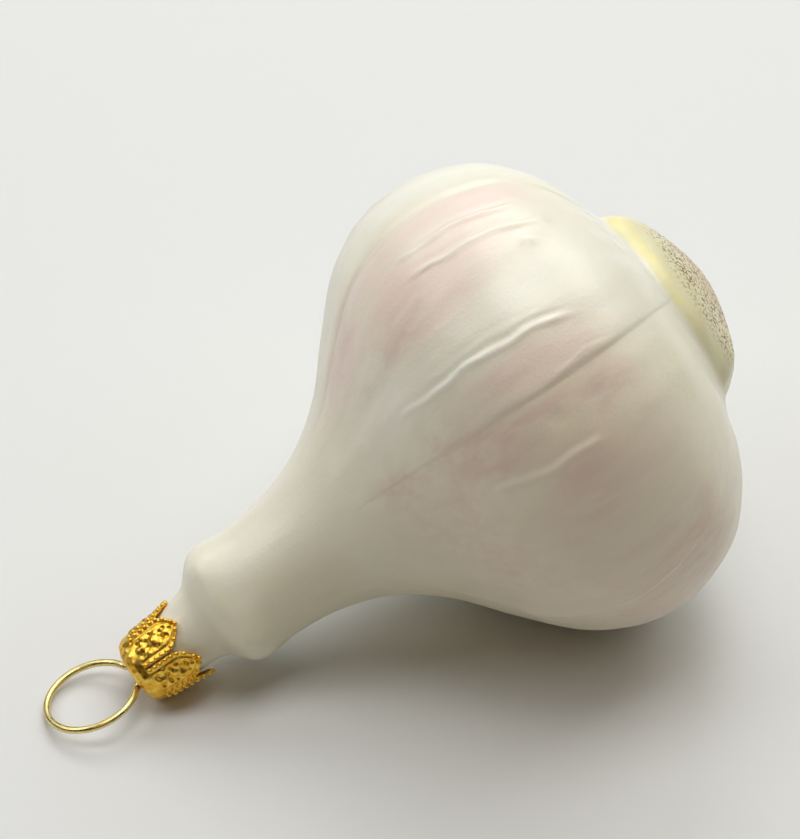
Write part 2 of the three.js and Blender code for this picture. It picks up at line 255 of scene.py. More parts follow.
# Patches of paint: station, turn angle, reach along and across in millimetres, strength.
MAUVE_PATCHES = [
    (33, 313, 12, 3.6, 1.0), (42, 317, 7, 3, 0.8), (22, 311, 6, 3.5, 0.8), (29, 303, 8, 3.5, 0.6),
    (38, 326, 7, 3.5, 0.45), (29, 326.5, 7, 3, 0.6), (21, 325, 5, 3, 0.4), (46, 310, 5, 5, 0.4),
    (30, 285, 10, 6, 0.7), (38, 274, 8, 5, 0.35), (43.5, 264, 1.5, 3, 0.5), (42, 274, 1.5, 4, 0.4),
    (20, 271, 8, 4, 0.6), (25, 264, 8, 5, 0.6), (29, 305.5, 6, 1.4, 0.6), (24, 316.5, 6, 1.6, 0.4),
    (26, 297, 11, 5, 0.35), (44, 298, 6, 5, 0.2), (30, 249, 10, 6, 1.0), (24, 256, 8, 5, 0.6),
    (22, 254, 7, 4, 0.6), (43, 290, 5, 5, 0.4), (40, 350, 5, 3, 0.5), (31, 351, 6, 4, 1.0),
    (26, 347, 4, 2, 0.4), (43, 12, 4, 4, 0.5), (30, 45, 12, 6, 0.6), (28, 92, 11, 7, 0.7),
    (36, 112, 7, 5, 0.5), (30, 150, 12, 7, 0.7), (32, 205, 12, 6, 0.6), (24, 228, 9, 6, 0.5),
]
# White paint; on the lit upper near side these patches also paint sheen.
WHITE_AND_SHEEN_PATCHES = [
    (21, 341, 8, 4.5, 0.8), (13, 330, 4, 6, 0.7), (33, 334.5, 6, 1.6, 0.5), (12, 355, 4, 7, 0.6),
    (40, 340, 6, 3, 0.5), (24, 28, 14, 6, 0.7), (20, 80, 10, 5, 0.5), (24, 135, 10, 5, 0.5),
    (20, 215, 10, 5, 0.4),
]
PINK_PATCHES = [
    (26, 4, 13, 6, 1.0), (36, 8, 9, 4.5, 0.9), (19, 11, 6, 3.5, 0.8), (44, 11, 6, 3.5, 0.8),
    (31, 350, 11, 4.5, 0.7), (20, 326, 9, 5, 0.35), (26, 295, 12, 9, 0.35), (27, 327, 8, 3.5, 0.6),
    (25, 58, 11, 5, 0.6), (28, 105, 11, 5, 0.6), (30, 165, 11, 5, 0.6), (30, 240, 10, 5, 0.5),
]
ORANGE_PATCHES = [(5.8, 348, 0.6, 1.6, 0.5), (6.2, 28, 0.6, 2.5, 0.5)]
# Turn angles that the one-sided paints face. The olive tint also paints shade on its side, and the rim
# white and the yellow also paint light on theirs.
# Olive tint with painted shade, on the side away from the lamps.
OLIVE_AND_SHADE_SIDE = 265
# White paint on the plate's rim, strongest on the side facing the lamps, where it is a painted highlight.
RIM_WHITE_AND_HIGHLIGHT_SIDE = 5
# Yellow paint on the plate's side, laid strongest facing the lamps, where it paints light.
YELLOW_AND_LIGHT_SIDE = 12
SPECK_SIDE = 270
PLATE_EDGE = 7.0
STROKE_STRETCH = 0.16

# Stamped pattern of a petal: share from base to tip, sideways millimetres, height, reach.
STAMP_DOTS = [
    (0.1, 0, 0.2, 0.34), (0.19, 0, 0.2, 0.34), (0.12, 0.85, -0.26, 0.3), (0.12, -0.85, -0.26, 0.3),
    (0.3, 0.4, -0.28, 0.3), (0.3, -0.4, -0.28, 0.3), (0.26, 1.15, 0.16, 0.3), (0.26, -1.15, 0.16, 0.3),
    (0.44, 0, 0.26, 0.5), (0.42, 1.0, -0.2, 0.26), (0.42, -1.0, -0.2, 0.26), (0.53, 0.75, 0.16, 0.3),
    (0.53, -0.75, 0.16, 0.3), (0.59, 0, -0.28, 0.26), (0.63, 0.45, -0.26, 0.26),
    (0.63, -0.45, -0.26, 0.26), (0.7, 0, 0.22, 0.3), (0.72, 0.62, -0.16, 0.24),
    (0.72, -0.62, -0.16, 0.24), (0.83, 0, -0.2, 0.26),
]
STAMP_EDGE = 1.6
# Groove and rim inside a petal's border: height, distance from the edge, reach.
BORDER_LINES = [(-0.12, 0.72, 0.13), (0.06, 0.15, 0.2)]


def smooth_step(start, end, value):
    t = np.clip((value - start) / (end - start), 0, 1)
    return t * t * (3 - 2 * t)


def bell(value, centre, reach):
    return np.exp(-(((value - centre) / reach) ** 2))


def turn_difference(a, b):
    return np.mod(a - b + 180, 360) - 180


def facing(angle, side):
    """From 1 where the turn angle is the side's to -1 opposite it."""
    return np.cos(np.radians(angle - side))


def lay_down(points):
    """From the axis frame to the lying pose, in metres. Nothing goes below the table."""
    turn = math.radians(-(90 + AXIS_TILT))
    c, s = math.cos(turn), math.sin(turn)
    turned = points @ np.array([[c, 0, s], [0, 1, 0], [-s, 0, c]]).T + ROOT_APEX
    turned[:, 2] = np.maximum(turned[:, 2], 0)
    return turned * MM


def glass_line(share):
    """Point and tangent of the smooth curve through the glass line's points."""
    last = len(GLASS_LINE) - 1
    place = np.clip(share, 0, 1) * last
    i = np.minimum(place.astype(int), last - 1)
    t = (place - i)[..., None]
    before = 2 * GLASS_LINE[0] - GLASS_LINE[1]
    after = 2 * GLASS_LINE[-1] - GLASS_LINE[-2]
    ends = np.vstack([before, GLASS_LINE, after])
    p0, p1, p2, p3 = ends[i], ends[i + 1], ends[i + 2], ends[i + 3]
    v0, v1 = (p2 - p0) / 2, (p3 - p1) / 2
    a = 2 * p1 - 2 * p2 + v0 + v1
    b = -3 * p1 + 3 * p2 - 2 * v0 - v1
    return ((a * t + b) * t + v0) * t + p1, (3 * a * t + 2 * b) * t + v0


def even_shares(rows):
    """Shares of the glass line that are evenly spaced along it."""
    fine = np.linspace(0, 1, LINE_SAMPLES)
    points = glass_line(fine)[0][:, :2]
    run = np.concatenate([[0], np.cumsum(np.hypot(*np.diff(points, axis=0).T))])
    return np.interp(np.linspace(0, run[-1], rows + 1)[1:], run, fine)


def crease_angle(index, station):
    """Turn angle of a crease, which eases from the stem to the root plate."""
    stem, root, _ = CREASES[index % len(CREASES)]
    share = np.clip((CREASE_SPAN[0] - station) / (CREASE_SPAN[0] - CREASE_SPAN[1]), 0, 1)
    full_turns = 360 * (index // len(CREASES))
    return stem + (root - stem) * np.sin(share * math.pi / 2) + full_turns


def clove_columns(step=1):
    """Clove and share across it for each column of points. Columns crowd at the creases."""
    columns = []
    for clove, (_, _, count) in enumerate(CREASES):
        even = np.arange(0, count, step) / count
        eased = 0.5 - 0.5 * np.cos(np.pi * even)
        spread = (1 - COLUMN_CROWDING) * even + COLUMN_CROWDING * eased
        columns += [(clove, across) for across in spread]
    return columns


def axis_shift(station):
    """Distance of the glass's middle from the straight axis."""
    amount, middle, reach = BELLY_LEAN
    neck = smooth_step(*NECK_LEAN_START, station) * (1 - smooth_step(*NECK_LEAN_END, station))
    return amount * bell(station, middle, reach) + NECK_LEAN * neck


def beside_fold(fold, station, angle, radius):
    """Distance across a fold, its strength, which fades at both ends, and its turn angle."""
    stations = np.array([place[0] for place in fold["line"]], float)
    angles = np.unwrap([place[1] for place in fold["line"]], period=360)
    order = np.argsort(stations)
    middle = np.interp(station, stations[order], angles[order])
    sideways = np.radians(turn_difference(angle, middle)) * radius
    sideways = sideways + SLOW_SWAY[0] * np.sin(station * SLOW_SWAY[1] + middle)
    sideways = sideways + FAST_SWAY[0] * np.sin(station * FAST_SWAY[1])
    low, high = stations.min(), stations.max()
    fade = fold["fade"]
    ends = smooth_step(low, low + fade, station) * (1 - smooth_step(high - fade, high, station))
    return sideways, ends, middle


def relief(station, angle, radius):
    """Height of the skin folds and lumps above the plain glass, in millimetres."""
    height = np.zeros_like(station)
    for fold in FOLDS:
        sideways, ends, middle = beside_fold(fold, station, angle, radius)
        width = fold["width"]
        uneven = 1 - UNEVENNESS + UNEVENNESS * np.sin(station * 0.9 + 2 * middle)
        if fold["kind"] == "ridge":
            dip = RIDGE_DIP * bell(sideways, RIDGE_DIP_PLACE * width, width)
            shape = bell(sideways, 0, width) - dip
        elif fold["kind"] == "groove":
            shape = -bell(sideways, 0, width)
        else:
            side = 0.5 + 0.5 * np.tanh(sideways / width)
            shape = side * np.exp(-np.abs(sideways) / fold["reach"])
            uneven = 0.5 + 0.5 * uneven
        height = height + fold["height"] * shape * ends * uneven
    for place, lump_turn, rise, reach in LUMPS:
        sideways = np.radians(turn_difference(angle, lump_turn)) * radius
        height = height + rise * np.exp(-((station - place) ** 2 + sideways ** 2) / reach ** 2)
    turn = np.radians(angle)
    rise, place, reach = PLATE_LUMPINESS
    lumpy = np.sin(5 * turn + 0.8) * np.sin(3 * turn + station * 0.9)
    height = height + rise * bell(station, place, reach) * lumpy
    on_cloves = smooth_step(*LONG_WAVE_START, station) * (1 - smooth_step(*LONG_WAVE_END, station))
    for count, bend, phase, rise in LONG_WAVES:
        wave = np.sin(count * turn + bend * np.sin(station * 0.21 + phase))
        patch = 0.5 + 0.5 * np.sin(3 * turn + station * 0.13 + phase)
        height = height + rise * wave * patch * on_cloves
    return height


def valley_weight(across):
    """Share of the valley's depth across a clove, deepest at the lap over the clove before it."""
    slope = abs(1 - 2 * across) ** VALLEY_SHARPNESS
    if across > 0.5:
        return slope
    return slope + (math.exp(-((across / LAP_WIDTH) ** 2)) - slope) * LAP


def crease_filling(station, angle):
    """Share of a crease's depth that the paint fills."""
    beside_plate = ROOT_FILLING * (1 - smooth_step(*ROOT_FILLING_FADE, station))
    upper_side = smooth_step(*UPPER_SIDE_FADE, facing(angle, UPPER_SIDE))
    return np.maximum(beside_plate, UPPER_FILLING * upper_side)


def glass_points(shares, columns, inset, with_relief):
    """Grid of glass points in the axis frame, with the station and turn angle of each."""
    line, tangent = glass_line(shares)
    shape = (len(shares), len(columns))
    radius, station, depth = (np.broadcast_to(line[:, k][:, None], shape) for k in range(3))
    size = np.hypot(tangent[:, 0], tangent[:, 1])
    out = (tangent[:, 1] / size)[:, None]
    along = (-tangent[:, 0] / size)[:, None]
    angle = np.empty(shape)
    valley = np.empty(shape)
    for j, (clove, across) in enumerate(columns):
        first = crease_angle(clove, station[:, 0])
        last = crease_angle(clove + 1, station[:, 0])
        angle[:, j] = first + (last - first) * across
        valley[:, j] = valley_weight(across)
    waves = np.sin(np.radians(COLLAR_WAVES * angle + COLLAR_TURN))
    collar = COLLAR_HEIGHT * waves * bell(station, COLLAR_STATION, COLLAR_REACH)
    sink = depth * valley + inset - collar
    if with_relief:
        sink = sink - crease_filling(station, angle) * depth * valley
        sink = sink - relief(station, angle, radius) * smooth_step(*RELIEF_START, station)
    around = radius - out * sink
    along = station - along * sink
    shift = axis_shift(along)
    turn = np.radians(angle)
    points = np.stack([
        around * np.cos(turn) + shift * math.cos(LEAN_ANGLE),
        around * np.sin(turn) + shift * math.sin(LEAN_ANGLE),
        along,
    ], -1)
    return points, station, np.mod(angle, 360)


def skin_faces(tip, first, rows, count, outward):
    """Fan round the tip, then quads between rings of count points each."""
    faces = []
    for j in range(count):
        following = (j + 1) % count
        corner = (tip, first + following, first + j)
        faces.append(corner if outward else corner[::-1])
        for i in range(rows - 1):
            a, b = first + i * count + j, first + i * count + following
            quad = (a, b, b + count, a + count)
            faces.append(quad if outward else quad[::-1])
    return faces


def new_object(name, points, faces, smooth=True):
    mesh = bpy.data.meshes.new(name)
    mesh.from_pydata([tuple(p) for p in points], [], faces)
    mesh.validate()
    mesh.polygons.foreach_set("use_smooth", [smooth] * len(mesh.polygons))
    made = bpy.data.objects.new(name, mesh)
    bpy.context.scene.collection.objects.link(made)
    return made


def paint_value(made, name, values):
    attribute = made.data.attributes.new(name, "FLOAT", "POINT")
    attribute.data.foreach_set("value", np.asarray(values, np.float32))


def paint_vector(made, name, values):
    attribute = made.data.attributes.new(name, "FLOAT_VECTOR", "POINT")
    attribute.data.foreach_set("vector", np.asarray(values, np.float32).ravel())


def soft_patch(station, angle, radius, patches):
    """Sum of soft patches of paint, from 0 to 1."""
    total = np.zeros_like(station)
    for place, turn, reach_along, reach_across, strength in patches:
        sideways = np.radians(turn_difference(angle, turn)) * radius
        away = ((station - place) / reach_along) ** 2 + (sideways / reach_across) ** 2
        total += strength * np.exp(-away)
    return np.clip(total, 0, 1)


def painted_crease_shade(station, angle, radius):
    """Painted shade: darker colour round the root plate and along the creases."""
    crease_shade = 0.8 * bell(station, 7.2, 1.2)
    mid_clove = smooth_step(14, 20, station) * (1 - smooth_step(30, 44, station))
    for index in range(len(CREASES)):
        gap = np.radians(turn_difference(angle, crease_angle(index, station))) * radius
        crease_shade = np.maximum(crease_shade, bell(gap, -0.5, 0.8) * mid_clove)
    return crease_shade


def painted_crest_highlight(station, angle, radius):
    """White paint and a painted highlight on the crests of the folds that stand out."""
    crest_highlight = np.zeros_like(station)
    for fold in FOLDS:
        if "crest_highlight" in fold:
            sideways, ends, _ = beside_fold(fold, station, angle, radius)
            on_top = bell(sideways, 0.1, 0.7 * fold["width"] + 0.1)
            crest_highlight = np.maximum(crest_highlight, fold["crest_highlight"] * ends * on_top)
    return crest_highlight


def glass_paints(station, angle, radius):
    """Strength of each paint at each point, painted light and shade among them."""
    turn = np.radians(angle)
    toward_specks = facing(angle, SPECK_SIDE)
    # Olive tint with painted shade on the side away from the lamps.
    olive_and_painted_shade = smooth_step(0.3, 0.95, facing(angle, OLIVE_AND_SHADE_SIDE)) * smooth_step(9, 24, station)
    # White rim paint with painted highlight on the side facing the lamps.
    rim_white_and_highlight = 0.2 + 0.8 * smooth_step(0.5, 0.95, facing(angle, RIM_WHITE_AND_HIGHLIGHT_SIDE))
    # Yellow paint with painted light on the side facing the lamps.
    yellow_and_painted_light = smooth_step(3.4, 5.8, station) * (0.5 + 0.5 * facing(angle, YELLOW_AND_LIGHT_SIDE)) ** 2
    edge = PLATE_EDGE + 0.25 * np.sin(3 * turn + 0.6) + 0.15 * np.sin(7 * turn)
    return {
        "mauve": soft_patch(station, angle, radius, MAUVE_PATCHES),
        "pink": soft_patch(station, angle, radius, PINK_PATCHES),
        # white paint, with painted sheen on the lit upper side
        "white_and_sheen": soft_patch(station, angle, radius, WHITE_AND_SHEEN_PATCHES),
        "orange": soft_patch(station, angle, radius, ORANGE_PATCHES),
        "olive_and_painted_shade": olive_and_painted_shade * (1 - 0.5 * smooth_step(50, 75, station)),
        "plate": 1 - smooth_step(edge - 0.9, edge + 0.1, station),
        "rim_white_and_highlight": rim_white_and_highlight * bell(station, 7.7, 1.5),
        "yellow_and_painted_light": yellow_and_painted_light,
        "speck_cover": 1 - smooth_step(2.2, 4.2, station - toward_specks),
        "tan": 1 - smooth_step(0.6, 2.6, station - 0.4 * toward_specks),
        # painted shade in the creases and round the root plate
        "crease_shade": painted_crease_shade(station, angle, radius),
        # white paint and painted highlight on the fold crests
        "crest_highlight": painted_crest_highlight(station, angle, radius),
    }


def build_glass():
    columns = clove_columns()
    inner_columns = clove_columns(INNER_STEP)
    outer, station, angle = glass_points(even_shares(GLASS_ROWS), columns, 0, True)
    inner, inner_station, inner_angle = glass_points(even_shares(INNER_ROWS), inner_columns, WALL, False)
    points = np.vstack([
        [[0, 0, 0]], outer.reshape(-1, 3), [[0, 0, WALL]], inner.reshape(-1, 3),
    ])
    count, inner_count = len(columns), len(inner_columns)
    inner_tip = 1 + outer.shape[0] * count
    faces = skin_faces(0, 1, outer.shape[0], count, True)
    faces += skin_faces(inner_tip, inner_tip + 1, inner.shape[0], inner_count, False)
    rim = 1 + (outer.shape[0] - 1) * count
    mouth = inner_tip + 1 + (inner.shape[0] - 1) * inner_count
    for j in range(inner_count):
        run = [rim + (INNER_STEP * j + k) % count for k in range(INNER_STEP + 1)]
        faces.append((*run, mouth + (j + 1) % inner_count, mouth + j))
    made = new_object("glass_bulb_painted", lay_down(points), faces)

    station = np.concatenate([[0], station.ravel(), [0], inner_station.ravel()])
    angle = np.concatenate([[0], angle.ravel(), [0], inner_angle.ravel()])
    radius = np.hypot(points[:, 0], points[:, 1])
    turn = np.radians(angle)
    # Strokes follow the meridians: they change fast round the bulb and slowly along it.
    strokes = np.stack([np.cos(turn) * radius, np.sin(turn) * radius, station * STROKE_STRETCH], -1)
    paint_vector(made, "place", points)
    paint_vector(made, "strokes", strokes)
    for name, values in glass_paints(station, angle, radius).items():
        paint_value(made, name, values)
    return made


def petal_half_width(share):
    past = np.maximum(0, (share - PETAL_SHOULDER) / (1 - PETAL_SHOULDER))
    side = PETAL_HALF_WIDTH[0] + PETAL_HALF_WIDTH[1] * share
    return np.maximum(side * (1 - past ** PETAL_POINT), TIP_HALF_WIDTH)


def petal_points(petal, share, across, lift):
    """Points of a petal's outer face: share from base to tip, across from -1 to 1, lift outward."""
    base_radius, base_station = CAP_ROWS[-1]
    radius = base_radius + (PETAL_TIP[0] - base_radius) * share
    station = base_station + (PETAL_TIP[1] - base_station) * share
    offset = across * petal_half_width(share) / radius
    flat = PETAL_FLATNESS * smooth_step(0, PETAL_ROUND_BASE, share)
    out = radius * (1 + flat * (1 / np.cos(offset) - 1)) + lift
    angle = np.radians(FIRST_PETAL + petal * 360 / PETALS) + offset
    return np.stack([out * np.cos(angle), out * np.sin(angle), station + 0 * out], -1)


def stamp(share, across):
    """Embossed height on a petal, in millimetres."""
    half = petal_half_width(share)
    sideways = across * half
    length = CAP_ROWS[-1][1] - PETAL_TIP[1]
    height = np.zeros_like(share)
    for place, beside, rise, reach in STAMP_DOTS:
        along = length * share - length * place
        away = (along ** 2 + (sideways - beside) ** 2) / reach ** 2
        height += rise * np.exp(-away ** STAMP_EDGE)
    for rise, place, reach in BORDER_LINES:
        height += rise * bell(half - np.abs(sideways), place, reach)
    return height


def crown_line(share):
    """Radius and station of the cap's round top, from its middle to the petals' base."""
    rows = np.array([(0, CAP_TOP)] + CAP_ROWS)
    run = np.linspace(0, 1, len(rows))
    return np.interp(share, run, rows[:, 0]), np.interp(share, run, rows[:, 1])


def bead_mesh(centre, radius, base):
    """A small round bead as points and faces."""
    points = [centre + (0, 0, radius)]
    for i in range(1, BEAD_RINGS):
        for j in range(BEAD_SIDES):
            a, b = math.pi * i / BEAD_RINGS, 2 * math.pi * j / BEAD_SIDES
            step = (math.sin(a) * math.cos(b), math.sin(a) * math.sin(b), math.cos(a))
            points.append(centre + radius * np.array(step))
    points.append(centre - (0, 0, radius))
    faces = []
    for j in range(BEAD_SIDES):
        k = (j + 1) % BEAD_SIDES
        faces.append((base, base + 1 + j, base + 1 + k))
        for i in range(BEAD_RINGS - 2):
            a, b = base + 1 + i * BEAD_SIDES + j, base + 1 + i * BEAD_SIDES + k
            faces.append((a, a + BEAD_SIDES, b + BEAD_SIDES, b))
        low = base + 1 + (BEAD_RINGS - 2) * BEAD_SIDES
        faces.append((base + len(points) - 1, low + k, low + j))
    return points, faces


def ring_axes():
    """The ring's direction away from the cap, its direction across, and the legs' direction."""
    away = np.array([math.sin(RING_LIFT), 0, math.cos(RING_LIFT)])
    across = np.array([0, math.cos(RING_ROLL), 0]) + np.cross(away, (0, 1, 0)) * math.sin(RING_ROLL)
    legs = np.array([across[0], across[1], 0])
    return away, across, legs / np.linalg.norm(legs)


def cap_outside():
    """Outer face of the cap: the round top and the stamped petals."""
    points = [np.array([0, 0, CAP_TOP])]
    faces = []
    rows = []
    lumps, lump_height, lump_station, lump_reach = SHOULDER_LUMPS
    angles = np.radians(FIRST_PETAL - 180 / PETALS + np.arange(CROWN_COLUMNS) * 360 / CROWN_COLUMNS)
    for i in range(1, CROWN_STEPS + 1):
        radius, station = crown_line(i / CROWN_STEPS)
        lump = lump_height * np.sin(angles * lumps) * bell(station, lump_station, lump_reach)
        reach = radius + lump
        first = len(points)
        points += list(np.stack([reach * np.cos(angles), reach * np.sin(angles), station + 0 * angles], -1))
        rows.append([first + j for j in range(CROWN_COLUMNS)])
    for j in range(CROWN_COLUMNS):
        k = (j + 1) % CROWN_COLUMNS
        faces.append((0, rows[0][j], rows[0][k]))
        for above, below in zip(rows, rows[1:]):
            faces.append((above[j], below[j], below[k], above[k]))
    steps_down, steps_across = PETAL_STEPS
    across = np.linspace(-1, 1, steps_across + 1)
    for petal in range(PETALS):
        above = [rows[-1][(petal * steps_across + j) % CROWN_COLUMNS] for j in range(steps_across + 1)]
        for row in range(1, steps_down + 1):
            share = np.full_like(across, row / steps_down)
            first = len(points)
            points += list(petal_points(petal, share, across, stamp(share, across)))
            below = [first + j for j in range(steps_across + 1)]
            for j in range(steps_across):
                faces.append((above[j], below[j], below[j + 1], above[j + 1]))
            above = below
    return np.array(points), faces


def thick_drilled_sheet(points, faces):
    """The cap's sheet with its thickness and the two wire holes, as points and faces."""
    sheet = new_object("cap_sheet", points, faces)
    solidify = sheet.modifiers.new("sheet", "SOLIDIFY")
    solidify.thickness = SHEET
    solidify.offset = -1
    _, _, legs = ring_axes()
    drills = []
    for side in (-1, 1):
        place = legs * LEG_OFFSET * side + (0, 0, HOLE_STATION)
        bpy.ops.mesh.primitive_cylinder_add(
            vertices=DRILL_SIDES, radius=HOLE_RADIUS, depth=DRILL_LENGTH, location=place)
        drill = bpy.context.object
        cut = sheet.modifiers.new("hole", "BOOLEAN")
        cut.operation = "DIFFERENCE"
        cut.solver = "EXACT"
        cut.object = drill
        drills.append(drill)
    evaluated = sheet.evaluated_get(bpy.context.evaluated_depsgraph_get())
    final = bpy.data.meshes.new_from_object(evaluated)
    for tool in (sheet, *drills):
        bpy.data.objects.remove(tool)
    return [np.array(v.co) for v in final.vertices], [tuple(p.vertices) for p in final.polygons]


def build_cap():
    points, faces = thick_drilled_sheet(*cap_outside())
    for petal in range(PETALS):
        places = [(TIP_BEAD, 0.0)]
        for bead in range(BEADS_PER_SIDE):
            share = BEAD_START + BEAD_RUN * bead / (BEADS_PER_SIDE - 1)
            side = 1 - BEAD_INSET / petal_half_width(share)
            places += [(share, side), (share, -side)]
        for share, side in places:
            centre = petal_points(petal, share, side, BEAD_LIFT)
            more, more_faces = bead_mesh(centre, BEAD_RADIUS, len(points))
            points += more
            faces += more_faces
    return new_object("crown_cap_gilt", lay_down(np.array(points)), faces)


def centripetal_curve(points, samples):
    """Smooth curve through the points, spaced by the square root of their distances."""
    points = np.array(points, float)
    ends = np.vstack([2 * points[0] - points[1], points, 2 * points[-1] - points[-2]])
    last = len(points) - 1
    curve = []
    for share in np.linspace(0, 1, samples):
        place = share * last
        i = min(int(place), last - 1)
        t = place - i
        p0, p1, p2, p3 = ends[i:i + 4]
        d0, d1, d2 = (math.sqrt(np.linalg.norm(b - a)) for a, b in ((p0, p1), (p1, p2), (p2, p3)))
        t1 = ((p1 - p0) / d0 - (p2 - p0) / (d0 + d1) + (p2 - p1) / d1) * d1
        t2 = ((p2 - p1) / d1 - (p3 - p1) / (d1 + d2) + (p3 - p2) / d2) * d1
        a = 2 * p1 - 2 * p2 + t1 + t2
        b = -3 * p1 + 3 * p2 - 2 * t1 - t2
        curve.append(((a * t + b) * t + t1) * t + p1)
    return np.array(curve)


def wire_route():
    """Points that the wire runs through: one leg, the ring, the other leg."""
    away, across, legs = ring_axes()
    centre = np.array([0, 0, CAP_ROWS[0][1]]) + away * (RING_STATION - CAP_ROWS[0][1])
    leg = [*LEG_ROUTE, LEG_BEND]
    route = [legs * -offset + (0, 0, station) for offset, station in leg]
    for turn in np.radians(np.linspace(-180 + RING_OPENING, 180 - RING_OPENING, RING_POINTS)):
        route.append(centre + RING_RADIUS * (math.cos(turn) * away + math.sin(turn) * across))
    route += [legs * offset + (0, 0, station) for offset, station in reversed(leg)]
    return route


def build_wire():
    curve = centripetal_curve(wire_route(), WIRE_SAMPLES)
    tangents = np.gradient(curve, axis=0)
    tangents /= np.linalg.norm(tangents, axis=1)[:, None]
    normal = np.cross(tangents[0], WIRE_FIRST_NORMAL)
    points, faces = [], []
    for i, (place, tangent) in enumerate(zip(curve, tangents)):
        normal = normal - tangent * np.dot(normal, tangent)
        normal /= np.linalg.norm(normal)
        binormal = np.cross(tangent, normal)
        at_end = i in (0, len(curve) - 1)
        radius = WIRE_RADIUS * (WIRE_END_TAPER if at_end else 1)
        for a in 2 * np.pi * np.arange(WIRE_SIDES) / WIRE_SIDES:
            points.append(place + radius * (math.cos(a) * normal + math.sin(a) * binormal))
    for i in range(len(curve) - 1):
        for j in range(WIRE_SIDES):
            k = (j + 1) % WIRE_SIDES
            a, b = i * WIRE_SIDES + j, i * WIRE_SIDES + k
            faces.append((a, b, b + WIRE_SIDES, a + WIRE_SIDES))
    faces.append(tuple(reversed(range(WIRE_SIDES))))
    faces.append(tuple(range(len(points) - WIRE_SIDES, len(points))))
    return new_object("hanger_wire_gilt", lay_down(np.array(points)), faces)


def colour(name):
    """Linear colour of a shader from a screen colour."""
    linear = [((c / 255 + 0.055) / 1.055) ** 2.4 if c > 10 else c / 3294.6 for c in COLOURS[name]]
    return (*linear, 1.0)


class Nodes:
    """Short way to write a material's nodes."""

    def __init__(self, name):
        self.material = bpy.data.materials.new(name)
        self.material.use_nodes = True
        self.tree = self.material.node_tree
        self.shader = self.tree.nodes["Principled BSDF"]

    def add(self, kind, inputs=None, **settings):
        node = self.tree.nodes.new(kind)
        for key, value in settings.items():
            setattr(node, key, value)
        for key, value in (inputs or {}).items():
            self.put(node.inputs[key], value)
        return node

    def put(self, socket, value):
        if isinstance(value, bpy.types.NodeSocket):
            self.tree.links.new(value, socket)
        else:
            socket.default_value = value

    def attribute(self, name, output="Fac"):
        return self.add("ShaderNodeAttribute", attribute_name=name).outputs[output]

    def noise(self, vector, scale, detail=3, roughness=0.5):
        inputs = {"Vector": vector, "Scale": scale, "Detail": detail, "Roughness": roughness}
        return self.add("ShaderNodeTexNoise", inputs).outputs["Fac"]

    def span(self, value, low, high, new_low=0.0, new_high=1.0):
        inputs = {"Value": value, "From Min": low, "From Max": high, "To Min": new_low, "To Max": new_high}
        return self.add("ShaderNodeMapRange", inputs, interpolation_type="SMOOTHSTEP").outputs["Result"]

    def math(self, operation, a, b):
        return self.add("ShaderNodeMath", {0: a, 1: b}, operation=operation).outputs[0]

    def times(self, a, b):
        return self.math("MULTIPLY", a, b)

    def mix(self, share, a, b):
        node = self.add("ShaderNodeMix", data_type="RGBA", blend_type="MIX")
        self.put(node.inputs[0], share)
        self.put(node.inputs[6], a)
        self.put(node.inputs[7], b)
        return node.outputs[2]

    def coat(self, base, share, name):
        """A named colour over the base, by a share."""
        return self.mix(share, base, colour(name))

    def set(self, **values):
        for key, value in values.items():
            self.put(self.shader.inputs[key.replace("_", " ")], value)

    def bump(self, height, distance, strength):
        node = self.add("ShaderNodeBump", {"Height": height, "Distance": distance, "Strength": strength})
        self.put(self.shader.inputs["Normal"], node.outputs["Normal"])


def skin_paint(m, place, strokes):
    """Colour of the cloves and the stem, with painted shade, sheen and highlight."""
    streaks = m.noise(strokes, 0.22)
    fine = m.noise(strokes, 0.6, 2)
    broad = m.span(m.noise(place, 0.075, 2), 0.35, 0.65)
    # Olive tint that also paints shade on the side away from the lamps.
    olive_and_painted_shade = m.times(m.attribute("olive_and_painted_shade"), m.span(streaks, 0.3, 0.65, 0.8, 0.45))
    pink = m.times(m.attribute("pink"), m.span(streaks, 0.3, 0.6, 0.45, 1.0))
    mauve = m.times(m.attribute("mauve"), m.span(streaks, 0.34, 0.62, 0.35, 1.0))
    mauve = m.times(mauve, m.span(fine, 0.34, 0.62, 0.6, 1.0))
    # White paint on the plate's rim, with painted highlight on the side facing the lamps.
    rim_white_and_highlight = m.times(m.attribute("rim_white_and_highlight"), m.span(m.noise(place, 0.25, 2), 0.3, 0.7, 0.5, 1.0))
    base = m.mix(broad, colour("cream"), colour("warm_cream"))
    base = m.coat(base, olive_and_painted_shade, "olive_and_painted_shade")
    base = m.coat(base, pink, "pink")
    base = m.coat(base, m.times(mauve, 0.9), "mauve")
    # Painted shade in the creases and round the root plate.
    base = m.coat(base, m.times(m.attribute("crease_shade"), 0.1), "crease_shade")
    # White paint, with painted sheen on the lit upper side.
    base = m.coat(base, m.attribute("white_and_sheen"), "white_and_sheen")
    # White paint and painted highlight on the fold crests.
    base = m.coat(base, m.attribute("crest_highlight"), "crest_highlight")
    return m.coat(base, rim_white_and_highlight, "rim_white_and_highlight")


